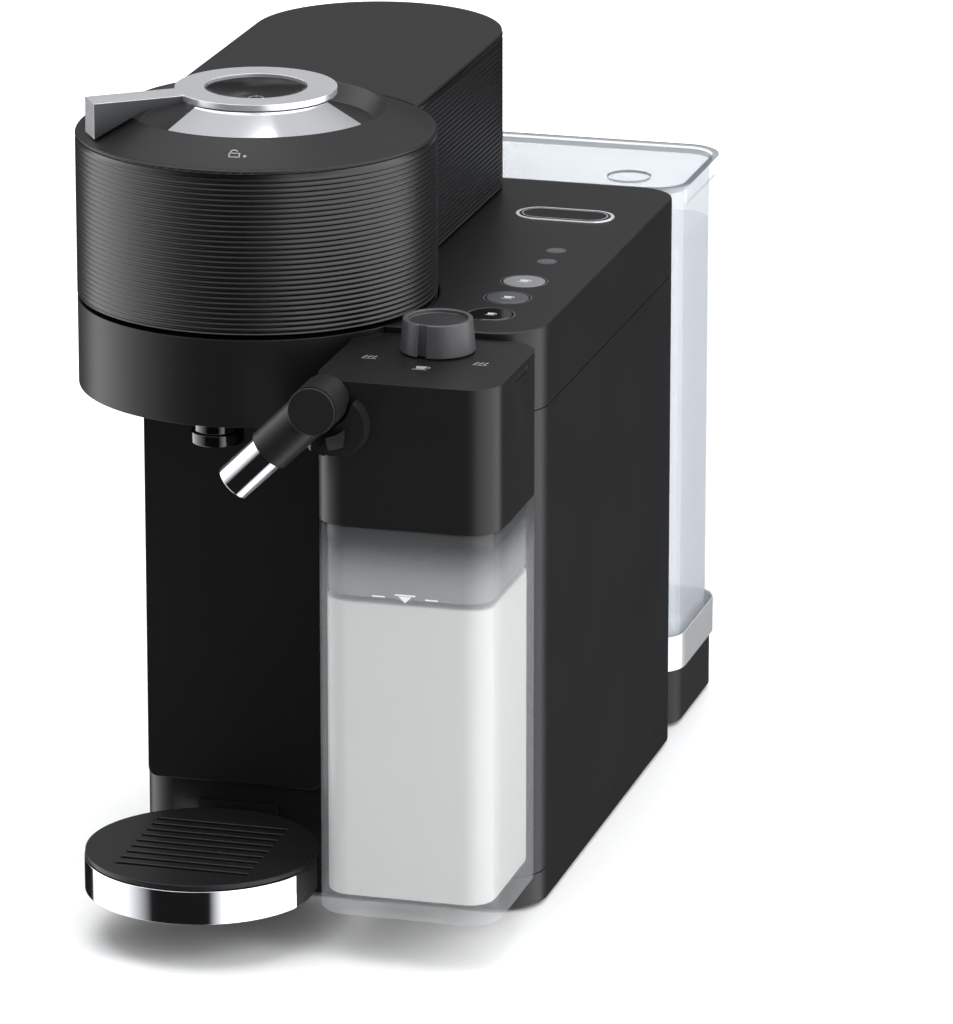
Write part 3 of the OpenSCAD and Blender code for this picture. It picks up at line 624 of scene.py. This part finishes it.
@dataclass
class BrewHead:
    """Round ribbed head with its rear arch and top cover."""

    x: float = HEAD_AXIS[0]
    y: float = HEAD_AXIS[1]
    drum: float = 69.6
    arch: float = 50.8
    arch_y: float = 95.5
    low: float = 234.5
    high: float = 296.7
    pitch: float = 2.0
    # rise in mm from the foot of a rib, and how deep the wall lies there
    profile: tuple[tuple[float, float], ...] = ((0.0, 0.55), (0.3, 0.45), (0.62, 0.14), (0.95, 0.0), (1.35, 0.0),
                                                (1.7, 0.2))

    def inset(self, point: Vector, depth: float) -> Vector:
        """Moves a point of the head's outline inwards.

        Args:
            point: on the outline, mm.
            depth: mm.

        Returns:
            The moved point, at the same height.
        """
        joint = math.sqrt(self.drum**2 - self.arch**2)
        dx, dy = point.x - self.x, point.y - self.y
        side = 1.0 if dx > 0 else -1.0
        if abs(abs(dx) - self.arch) < 0.1 and abs(dy - joint) < 0.3:
            reach = math.sqrt((self.drum - depth) ** 2 - (self.arch - depth) ** 2)
            return Vector((self.x + side * (self.arch - depth), self.y + reach, point.z))
        if dy < joint:
            share = (self.drum - depth) / math.hypot(dx, dy)
            return Vector((self.x + dx * share, self.y + dy * share, point.z))
        if point.y > self.arch_y:
            ry = point.y - self.arch_y
            share = (self.arch - depth) / math.hypot(dx, ry)
            return Vector((self.x + dx * share, self.arch_y + ry * share, point.z))
        return Vector((self.x + side * (self.arch - depth), point.y, point.z))

    def on_outline(self, point: Vector) -> bool:
        """True where a point in mm lies on the head's outer wall."""
        joint = math.sqrt(self.drum**2 - self.arch**2)
        dx, dy = point.x - self.x, point.y - self.y
        if dy < joint + 0.05 and abs(math.hypot(dx, dy) - self.drum) < 0.12:
            return True
        if point.y > self.arch_y - 0.05:
            return abs(math.hypot(dx, point.y - self.arch_y) - self.arch) < 0.12
        return dy > joint - 0.05 and abs(abs(dx) - self.arch) < 0.12

    def ribbed_wall(self) -> None:
        """Replaces the smooth outer wall with one drawn up rib by rib."""
        bm = bmesh.new()
        bm.from_mesh(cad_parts["head_shell"].data)
        bmesh.ops.remove_doubles(bm, verts=bm.verts, dist=0.002 * MM)
        wall = [f for f in bm.faces if abs(f.normal.z) < 0.05 and all(self.on_outline(v.co / MM) for v in f.verts)]
        bmesh.ops.delete(bm, geom=wall, context="FACES")
        rim = [e for e in bm.edges if e.is_boundary and all(abs(v.co.z / MM - self.low) < 0.05 for v in e.verts)
               and all(self.on_outline(v.co / MM) for v in e.verts)]
        turns = int((self.high - self.low - 0.9) / self.pitch)
        rows = [(0.3, 0.0)]
        for turn in range(turns):
            rows += [(0.5 + turn * self.pitch + rise, depth) for rise, depth in self.profile]
        rows += [(0.5 + turns * self.pitch, 0.4), (self.high - self.low, 0.0)]
        start = {}
        for edge in rim:
            for vert in edge.verts:
                start[vert] = vert.co / MM
        for rise, depth in rows:
            made = bmesh.ops.extrude_edge_only(bm, edges=rim)["geom"]
            fresh = [g for g in made if isinstance(g, bmesh.types.BMVert)]
            rim = [g for g in made if isinstance(g, bmesh.types.BMEdge) and g.is_boundary]
            moved = {}
            for vert in fresh:
                old = next(v for e in vert.link_edges for v in e.verts if v in start)
                moved[vert] = start[old]
                spot = self.inset(start[old], depth)
                vert.co = Vector((spot.x, spot.y, self.low + rise)) * MM
            start = moved
        bmesh.ops.remove_doubles(bm, verts=bm.verts, dist=0.01 * MM)
        place(bm, "head_ribbed_shell", "brew_head", RIBBED_ABS, Slot.RIBBED, ("head_shell",), outward=True)

    def shoulder(self) -> None:
        """Spins the conical shoulder with its recess, and keeps the flat plate of the arch."""
        lip, flat = 69.3, 298.3
        sweep = ((12.3, 297.0), (lip, 297.0), (lip, 297.7), (69.0, 298.1), (68.4, flat), (66.9, 298.36),
                 (50.9, 305.8), (50.4, 306.1), (49.9, 306.2), (49.5, 305.9), (49.1, 305.1), (45.8, 299.8),
                 (45.2, 299.4), (12.3, 299.4))
        place(spun(self.x, self.y, sweep), "head_shoulder", "brew_head", SATIN_ABS, Slot.SATIN, outward=True)
        plate = merged_copy("head_top_cover")
        round_edges(plate, 0.9, 3, lambda m: m.z > 298.2 and m.y > self.y + 40)
        plate = cut(plate, cylinder(self.x, self.y, 290, 320, lip, 192))
        place(plate, "head_arch_plate", "brew_head", SATIN_ABS, Slot.SATIN, ("head_top_cover",))

    def build(self) -> None:
        """Builds and dresses the head."""
        self.ribbed_wall()
        self.shoulder()
        dress(["piercing_plate", "hinge_pin"], STEEL)
        mark = Print()
        mark.lock(0.0, 0.0, 5.4)
        # on the shoulder cone, which rises by fall over run from its rim
        fall, run, rim_z, lift = 9.3, 19.6, 297.0, 0.02
        lean = math.atan2(fall, run)
        around = math.radians(279.0)
        radius = 58.5
        spot = Vector((self.x + radius * math.cos(around), self.y + radius * math.sin(around),
                       rim_z + fall * (self.drum - radius) / run + lift))
        where = (Matrix.Translation(spot) @ Matrix.Rotation(around + math.pi / 2, 4, "Z")
                 @ Matrix.Rotation(lean, 4, "X"))
        mark.lay("lock_mark", "brew_head", where, INK_GREY)


@dataclass
class Lever:
    """Locking lever: turned ring, chrome skirt and shaft."""

    edge: float = 0.45
    # distance from the axis at which the tab's sides with painted shade begin, mm
    arm_start: float = 33.0

    def build(self) -> None:
        """Builds and dresses the lever."""
        bm = merged_copy("lever_ring")
        round_edges(bm, self.edge)
        bm.normal_update()
        # the tab's sideways faces get the painted shade as a second material
        for face in bm.faces:
            arm = face.calc_center_median() / MM - Vector(HEAD_AXIS)
            arm.z = 0.0
            sideways = abs(face.normal.z) < 0.3 and abs(face.normal.dot(arm.normalized())) < 0.5
            if sideways and arm.length > self.arm_start:
                face.material_index = 1
        place(bm, "lever_ring_soft", "lever", TURNED, Slot.BRUSHED, ("lever_ring",), extra=(ARM_SIDE_SHADE,))
        sweep = ((27.2, 310.2), (29.2, 311.5), (31.2, 311.5), (31.5, 311.3), (46.7, 304.3), (47.0, 304.0),
                 (47.0, 302.9), (45.8, 302.9))
        place(spun(HEAD_AXIS[0], HEAD_AXIS[1], sweep, 240, 347, 60), "lever_skirt_cone", "lever", CHROME, Slot.CHROME,
              ("lever_skirt",), outward=True)
        dress(["lever_shaft"], STEEL)


@dataclass
class BrewButton:
    """Dished button field inside the lever ring, with the brew button in its middle."""

    x: float = HEAD_AXIS[0]
    y: float = HEAD_AXIS[1]
    # radius and height of the dish from its hole to its rim, mm
    sweep: tuple[tuple[float, float], ...] = ((9.6, 304.0), (9.6, 308.9), (10.4, 309.0), (12.2, 309.2), (14.0, 309.7),
                                              (15.8, 310.4), (17.4, 311.3), (18.7, 312.3), (19.2, 312.9), (19.4, 312.6),
                                              (19.4, 304.0))

    def build(self) -> None:
        """Builds the dish and dresses the button."""
        place(spun(self.x, self.y, self.sweep), "brew_dish", "brew_head", DISH_BLACK, Slot.GLOSS, outward=True)
        low = merged_copy("button_dish")
        post = cut(low, cylinder(self.x, self.y, 304.9, 320, 30))
        place(post, "dish_post", "brew_head", PLAIN_ABS, Slot.ABS, ("button_dish",))
        soften("brew_button", "brew_button", DISH_BLACK, Slot.GLOSS, 0.35)
        mark = Print()
        mark.ring(0.0, 0.0, 2.9, 0.4, (-60, 240))
        mark.bar(0.0, 2.6, 0.4, 2.6)
        mark.lay("brew_mark", "brew_button", flat_at(self.x, self.y, 309.42, 15), INK_GREY, 0.12)


@dataclass
class Housing:
    """Body with its top cover, skirt, front panel, badge, lenses and three select buttons."""

    top: float = 233.0
    button_x: float = 69.1
    button_y: tuple[float, float, float] = (-81.8, -57.1, -32.3)
    badge: tuple[float, float] = (58.7, 70.0)
    holes: tuple[tuple[float, float, float], ...] = field(default=(
        (69.1, -81.8, 12.0), (69.1, -57.1, 12.0), (69.1, -32.3, 12.0), (69.3, 15.9, 7.0), (70.0, -1.1, 7.0),
        (58.7, 70.0, 23.0)))

    def plain_rim(self, middle: Vector) -> bool:
        """True away from the holes and seats of the top cover."""
        if middle.z < 202 or (middle.z < self.top - 4 and middle.y < -100 and 35 < middle.x < 86):
            return False
        return all(math.hypot(middle.x - x, middle.y - y) > r for x, y, r in self.holes)

    def make_badge(self) -> None:
        """Oval plate with a bright rim, a black field and a fine bright line, with no words."""
        for name, long_half, round_r, low, high, finish, slot in (
                ("badge_rim", 10.5, 9.7, -0.6, 0.3, NICKEL, Slot.CHROME),
                ("badge_field", 10.5, 8.3, 0.0, 0.36, DISH_BLACK, Slot.GLOSS)):
            bm = bmesh.new()
            ring = bmesh.ops.create_circle(bm, cap_ends=True, segments=64, radius=round_r * MM,
                                           matrix=Matrix.Rotation(math.radians(360 / 128), 4, "Z"))["verts"]
            for vert in ring:
                vert.co.x += math.copysign(long_half * MM, vert.co.x)
                vert.co.z = low * MM
            made = bmesh.ops.extrude_face_region(bm, geom=list(bm.faces))["geom"]
            top = [g for g in made if isinstance(g, bmesh.types.BMVert)]
            bmesh.ops.translate(bm, vec=(0, 0, (high - low) * MM), verts=top)
            bmesh.ops.recalc_face_normals(bm, faces=bm.faces)
            round_edges(bm, 0.22, 2)
            bmesh.ops.translate(bm, vec=Vector((*self.badge, self.top)) * MM, verts=bm.verts)
            place(bm, name, "machine", finish, slot, ("badge",) if name == "badge_rim" else ())
        line = Print()
        for side in (-1, 1):
            line.ring(side * 10.5, 0, 7.1, 0.45, (90, 270) if side < 0 else (-90, 90))
            line.bar(0, side * 6.87, 21.0, 0.45)
        line.lay("badge_line", "machine", flat_at(*self.badge, self.top + 0.36), INK_GREY)

    def make_buttons(self) -> None:
        """Three glossy buttons with cup marks of growing size and fine rims."""
        looks = (GLOSS_ACRYLIC, SMOKED_ACRYLIC, PALE_ACRYLIC)
        slots = (Slot.GLOSS, Slot.SMOKED, Slot.SMOKED)
        for number, (y, finish, slot) in enumerate(zip(self.button_y, looks, slots), 1):
            body = f"select_button_{number}"
            soften(body, body, finish, slot, 0.4)
            mark = Print()
            mark.cup(0.0, 0.0, 3.2 + number * 0.5)
            mark.lay(f"cup_mark_{number}", body, flat_at(self.button_x, y, 233.3), INK_PALE)
            rim = Print()
            rim.ring(0.0, 0.0, 9.5, 0.5)
            rim.lay(f"button_rim_{number}", "machine", flat_at(self.button_x, y, self.top), KNOB_GREY, 0.12)

    def build(self) -> None:
        """Builds and dresses the housing."""
        soften("body_shell", "machine", MATTE_ABS, Slot.BLACK, 0.4)
        soften("body_top_cover", "machine", MATTE_ABS, Slot.BLACK, 1.5, 4, self.plain_rim)
        soften("bottom_skirt", "machine", MATTE_ABS, Slot.BLACK, 0.5)
        soften("column_panel", "machine", MATTE_ABS, Slot.BLACK, 0.4)
        soften("brew_unit_housing", "machine", MATTE_ABS, Slot.BLACK, 0.9)
        soften("coffee_spout", "machine", GLOSS_ACRYLIC, Slot.GLOSS, 0.5)
        soften("cord_gland", "machine", PLAIN_ABS, Slot.ABS, 0.5)
        dress(["indicator_lenses"], SMOKED_ACRYLIC)
        dress(["base_plate", "hinge_bracket", "brew_chamber"], PLAIN_ABS)
        dress(["rubber_feet"], RUBBER)
        dress(["base_screws"], STEEL)
        self.make_badge()
        self.make_buttons()
        for name, x, y in (("descale_mark", 69.3, 15.9), ("clean_mark", 70.0, -1.1)):
            mark = Print()
            mark.steam(0.0, 0.0, 4.6)
            mark.lay(name, "machine", flat_at(x, y, self.top + 0.06), INK_DIM)


@dataclass
class CupSupport:
    """Round support with a bright band, drip tray and slotted plate."""

    def build(self) -> None:
        """Builds and dresses the support."""
        soften("drip_tray", "drip_tray", PLAIN_ABS, Slot.ABS, 0.5)
        soften("tray_band", "drip_tray", CHROME, Slot.CHROME, 0.2, 2)
        soften("cup_plate", "cup_plate", SATIN_ABS, Slot.SATIN, 0.35, 2)
        dress(["tray_bracket"], PLAIN_ABS)


@dataclass
class MilkJug:
    """Frosted jug of milk with its lid, froth knob, latches and printed marks."""

    left: float = 25.3
    right: float = 96.3
    front: float = -176.7
    back: float = -107.7
    corner: float = 13.0
    floor: float = 27.0
    level: float = 144.0
    gap: float = 2.9

    def inside(self, low: float, high: float, gap: float, edge: float) -> bmesh.types.BMesh:
        """A block that stands inside the jug.

        Args:
            low: its foot, mm.
            high: its top, mm.
            gap: distance in from the jug's outer wall, mm.
            edge: rounding, mm.

        Returns:
            The mesh.
        """
        return rounded_prism((self.left + gap, self.front + gap, low), (self.right - gap, self.back - gap, high),
                             max(2.0, self.corner - gap), edge)

    def build(self) -> None:
        """Builds and dresses the jug and its lid."""
        # the jug's veil carries painted shade towards the top
        soften("milk_jug", "milk_jug", FROSTED_PP, Slot.FROSTED, 0.8)
        place(self.inside(self.floor + 0.15, self.level, self.gap, 0.8), "milk_fill", "milk_jug", MILK, outward=True)
        # the insert below the lid, painted paler towards its foot as painted light
        insert = cut(self.inside(146.0, 173.9, 3.4, 1.0), cylinder(60.8, -142.0, 140, 180, 3.3))
        place(insert, "lid_insert", "jug_lid", INSERT_PP, Slot.ABS, outward=True)
        soften("jug_lid", "jug_lid", MATTE_ABS, Slot.BLACK, 0.7, 3,
               lambda m: m.z > 174 and not (215 < m.z < 229.5) or m.z < 175)
        soften("froth_knob", "froth_knob", KNOB_GREY, Slot.GREY, 0.5)
        # Painted shade: a flat dark disc stands in for the shade in the knob's top recess.
        recess = Print()
        recess.disc(0.0, 0.0, 11.0)
        recess.lay("knob_recess_shade_disc", "froth_knob", flat_at(60.8, -127.0, 241.9), KNOB_RECESS_SHADE, 0.12)
        dress(["lid_latch_right", "lid_latch_left"], PLAIN_ABS)
        dress(["port_seal", "milk_straw"], SILICONE)
        dress(["steam_nozzle", "guide_pins"], STEEL)
        for name, kind, x, y, size in (("foam_mark", "steam", 38.6, -142.3, 5.2),
                                       ("cup_mark", "cup", 61.1, -151.7, 5.6),
                                       ("rinse_mark", "steam", 81.3, -140.6, 5.2)):
            mark = Print()
            getattr(mark, kind)(0.0, 0.0, size)
            mark.lay(name, "jug_lid", flat_at(x, y, 230.5), INK_GREY)
        level = Print()
        level.bar(-10.3, 0.0, 5.0, 0.5)
        level.bar(10.3, 0.0, 5.0, 0.5)
        level.bar(0.0, 1.1, 8.0, 0.6)
        level.bar(0.0, -0.6, 5.0, 2.4, taper=0.05)
        upright = Matrix.Translation((61.8, self.front, 148.0)) @ Matrix.Rotation(math.radians(90), 4, "X")
        level.lay("fill_level_mark", "milk_jug", upright, INK_WHITE)


@dataclass
class MilkSpout:
    """Swinging spout with its black sleeve, cap and steel tube."""

    pivot: tuple[float, float] = (31.6, 223.6)
    steepest: float = 54.9
    sleeve: float = 9.4

    def flare(self) -> None:
        """Adds the flared lip of the collar on the lid, clear of the knuckle and of the swinging sleeve."""
        bm = bmesh.new()
        front = Matrix.Rotation(math.radians(90), 4, "X")
        bmesh.ops.create_cone(bm, cap_ends=True, segments=96, radius1=13.8 * MM, radius2=11.6 * MM, depth=9.0 * MM,
                              matrix=Matrix.Translation(Vector((36.0, -176.5, 214.0)) * MM) @ front)
        knuckle = bmesh.new()
        bmesh.ops.create_cone(knuckle, cap_ends=True, segments=64, radius1=10.5 * MM, radius2=10.5 * MM, depth=50 * MM,
                              matrix=Matrix.Translation(Vector((self.pivot[0], -176.5, self.pivot[1])) * MM) @ front)
        bm = cut(bm, knuckle)
        # everything on the sleeve's side of its steepest place
        swing = bmesh.new()
        bmesh.ops.create_cube(swing, size=1.0, matrix=(
            Matrix.Translation(Vector((self.pivot[0], -176.5, self.pivot[1])) * MM)
            @ Matrix.Rotation(math.radians(-self.steepest), 4, "Y")
            @ Matrix.Translation(Vector((0, 0, 30 - self.sleeve)) * MM)
            @ Matrix.Diagonal((0.12, 0.05, 0.06, 1.0))))
        bm = cut(bm, swing)
        round_edges(bm, 0.5, 2)
        place(bm, "spout_flare", "jug_lid", MATTE_ABS, Slot.BLACK, outward=True)

    def build(self) -> None:
        """Builds and dresses the spout."""
        dress(["spout_collar"], MATTE_ABS)
        self.flare()
        dress(["spout_arm"], SATIN_ABS)
        soften("spout_cap", "milk_spout", SATIN_ABS, Slot.SATIN, 0.4)
        soften("spout_tube", "spout_tube", CHROME, Slot.STEEL, 0.3, 2)


@dataclass
class WaterTank:
    """Clear tank with its rim, lid, band and dock, part filled with water."""

    left: float = -20.0
    right: float = 92.8
    front: float = 123.4
    back: float = 197.6
    level: float = 205.0
    floor: float = 27.6
    # from here up the walls look as thick as the rim, mm
    rim: float = 231.0

    def shell(self, node: str, body: str, rim_z: float) -> None:
        """Rounds a clear piece and gives its edge, or all of it above a height, the look of a thick rim.

        Args:
            node: the CAD node.
            body: its body.
            rim_z: height from which every face looks thick, mm; 0 takes only the upright faces.
        """
        bm = merged_copy(node)
        round_edges(bm, 0.45, 2)
        bm.normal_update()
        for face in bm.faces:
            if (rim_z or abs(face.normal.z) < 0.8) and face.calc_center_median().z > rim_z * MM:
                face.material_index = 1
        place(bm, node + "_clear", body, CLEAR_SAN, Slot.CLEAR, (node,), extra=(RIM_SAN,))

    def build(self) -> None:
        """Builds and dresses the tank."""
        self.shell("water_tank", "water_tank", self.rim)
        gap = 2.7
        water = rounded_prism((self.left + gap, self.front + gap, self.floor),
                              (self.right - gap, self.back - gap, self.level), 11.3)
        water = cut(water, cylinder(-26.7, 95.5, 10, 260, 55.5, 96))
        place(water, "tank_water", "water_tank", WATER, outward=True)
        self.shell("tank_lid", "tank_lid", 0.0)
        soften("tank_band", "water_tank", SATIN_CHROME, Slot.CHROME, 0.15, 2)
        soften("tank_dock", "machine", PLAIN_ABS, Slot.ABS, 0.7)
        dress(["tank_valve"], NATURAL_NYLON)


@dataclass
class PodSide:
    """Pod cup, used-pod bin and its front."""

    def build(self) -> None:
        """Builds and dresses the pod parts."""
        dress(["capsule_cup", "cup_bearing"], STEEL)
        dress(["capsule_bin"], PLAIN_ABS)
        soften("bin_front", "pod_bin", MATTE_ABS, Slot.BLACK, 0.5)


@dataclass
class Works:
    """Motor, pump, heater, board and pipes inside the body."""

    def build(self) -> None:
        """Dresses the inner parts."""
        dress(["spin_motor", "water_pump"], PAINTED_STEEL)
        dress(["thermoblock"], CAST_ALUMINIUM)
        dress(["circuit_board"], SOLDER_MASK)
        dress(["flow_meter"], NATURAL_NYLON)
        dress(["water_hose", "steam_hose"], SILICONE)
        dress(["internal_frame"], PLAIN_ABS)


@dataclass
class Studio:
    """Pale floor, soft lights and the camera."""

    azimuth: float = 15.322
    elevation: float = 17.067
    distance: float = 2.791
    target: tuple[float, float, float] = (0.0608, -0.0721, 0.1507)
    focal_px: float = 7227.2
    height_px: float = 1024.0
    # brightness of the side panels by direction: degrees from straight ahead, to the right
    panels: tuple[tuple[float, float], ...] = ((-119, 0.0), (-114, 1.0), (-85, 0.85), (-34, 0.0), (24, 0.0),
                                               (44, 0.75), (84, 0.85), (128, 1.0), (133, 0.0))
    panel_mirror: float = 3.9
    panel_fill: float = 0.12

    def light(self, name: str, at: tuple[float, float, float], aim: tuple[float, float, float],
              size: tuple[float, float], power: float, mirrored: bool = True) -> None:
        """Adds a soft box.

        Args:
            name: the light's name.
            at: its place, metres.
            aim: what it points at, metres.
            size: width and height, metres.
            power: watts.
            mirrored: whether glossy pieces show it.
        """
        data = bpy.data.lights.new(name, "AREA")
        data.shape, data.size, data.size_y, data.energy = "RECTANGLE", size[0], size[1], power
        lamp = bpy.data.objects.new(name, data)
        lamp.location = at
        lamp.visible_glossy = mirrored
        lamp.rotation_euler = (Vector(aim) - Vector(at)).to_track_quat("-Z", "Y").to_euler()
        bpy.context.scene.collection.objects.link(lamp)

    def build(self) -> None:
        """Builds the studio."""
        bm = bmesh.new()
        bmesh.ops.create_grid(bm, x_segments=8, y_segments=8, size=9.0)
        bmesh.ops.translate(bm, vec=(0, 0, -0.0004), verts=bm.verts)
        data = bpy.data.meshes.new("floor")
        bm.to_mesh(data)
        bm.free()
        paper = Finish("seamless_paper", "f6f6f6", 0.75, specular=0.2, grain_mm=3.0, grain_depth_mm=0.02,
                       patch_mm=900, mottle=0.01)
        data.materials.append(paper.material())
        floor = bpy.data.objects.new("floor", data)
        bpy.context.scene.collection.objects.link(floor)
        # as if behind a black flag: the floor lights the machine but isn't mirrored in it
        floor.visible_glossy = False
        world = bpy.data.worlds.new("studio")
        world.use_nodes = True
        tree = world.node_tree
        sky = add_node(tree, "ShaderNodeTexCoord", {}, {})
        parts = add_node(tree, "ShaderNodeSeparateXYZ", {}, {0: sky.outputs["Generated"]})
        glow = add_node(tree, "ShaderNodeMapRange", {"interpolation_type": "SMOOTHSTEP"},
                        {0: parts.outputs[2], 1: -0.05, 2: 0.9, 3: 0.015, 4: 1.0})
        # two tall soft panels at the sides, sharp at their rear edge and fading to the front
        ahead = add_node(tree, "ShaderNodeMath", {"operation": "MULTIPLY"}, {0: parts.outputs[1], 1: -1.0})
        around = add_node(tree, "ShaderNodeMath", {"operation": "ARCTAN2"}, {0: parts.outputs[0], 1: ahead.outputs[0]})
        share = add_node(tree, "ShaderNodeMapRange", {}, {0: around.outputs[0], 1: -math.pi, 2: math.pi})
        panels = add_node(tree, "ShaderNodeValToRGB", {}, {0: share.outputs[0]})
        ramp = panels.color_ramp
        for degrees, level in self.panels:
            stop = ramp.elements.new(degrees / 360 + 0.5)
            stop.color = (level, level, level, 1.0)
        for stop in (ramp.elements[0], ramp.elements[len(ramp.elements) - 1]):
            stop.color = (0.0, 0.0, 0.0, 1.0)
        path = add_node(tree, "ShaderNodeLightPath", {}, {})
        seen = add_node(tree, "ShaderNodeMapRange", {},
                        {0: path.outputs["Is Glossy Ray"], 3: self.panel_fill, 4: self.panel_mirror})
        lit = add_node(tree, "ShaderNodeMath", {"operation": "MULTIPLY_ADD"},
                       {0: panels.outputs[0], 1: seen.outputs[0], 2: glow.outputs[0]})
        tree.links.new(lit.outputs[0], tree.nodes["Background"].inputs[1])
        tree.nodes["Background"].inputs[0].default_value = linear("f4f5f7")
        bpy.context.scene.world = world
        self.light("top_box", (-0.3, -0.2, 2.2), (0, 0, 0.15), (1.6, 1.6), 29)
        self.light("right_strip", (1.0, -0.5, 0.52), (0, -0.07, 0.2), (0.4, 1.0), 9, False)
        self.light("back_wash", (0.2, 2.4, 1.8), (0, 0.9, 0), (3.0, 1.0), 60, False)
        camera_data = bpy.data.cameras.new("camera")
        camera_data.sensor_width = 36.0
        camera_data.lens = self.focal_px / self.height_px * 36.0
        camera_data.clip_start, camera_data.clip_end = 0.05, 50.0
        camera = bpy.data.objects.new("camera", camera_data)
        turn, rise = math.radians(self.azimuth), math.radians(self.elevation)
        back = Vector((math.sin(turn) * math.cos(rise), -math.cos(turn) * math.cos(rise), math.sin(rise)))
        camera.location = Vector(self.target) + back * self.distance
        camera.rotation_euler = (-back).to_track_quat("-Z", "Y").to_euler()
        bpy.context.scene.collection.objects.link(camera)
        bpy.context.scene.camera = camera
        bpy.context.scene.view_settings.view_transform = "Standard"


def main() -> None:
    """Builds every sub-assembly in order, then the studio."""
    logging.basicConfig(level=logging.INFO, format="%(name)s %(message)s")
    for part in (Housing(), BrewHead(), Lever(), BrewButton(), CupSupport(), MilkJug(), MilkSpout(), WaterTank(),
                 PodSide(), Works()):
        log.info("-- %s", type(part).__name__)
        part.build()
    Studio().build()


if __name__ == "__main__":
    main()
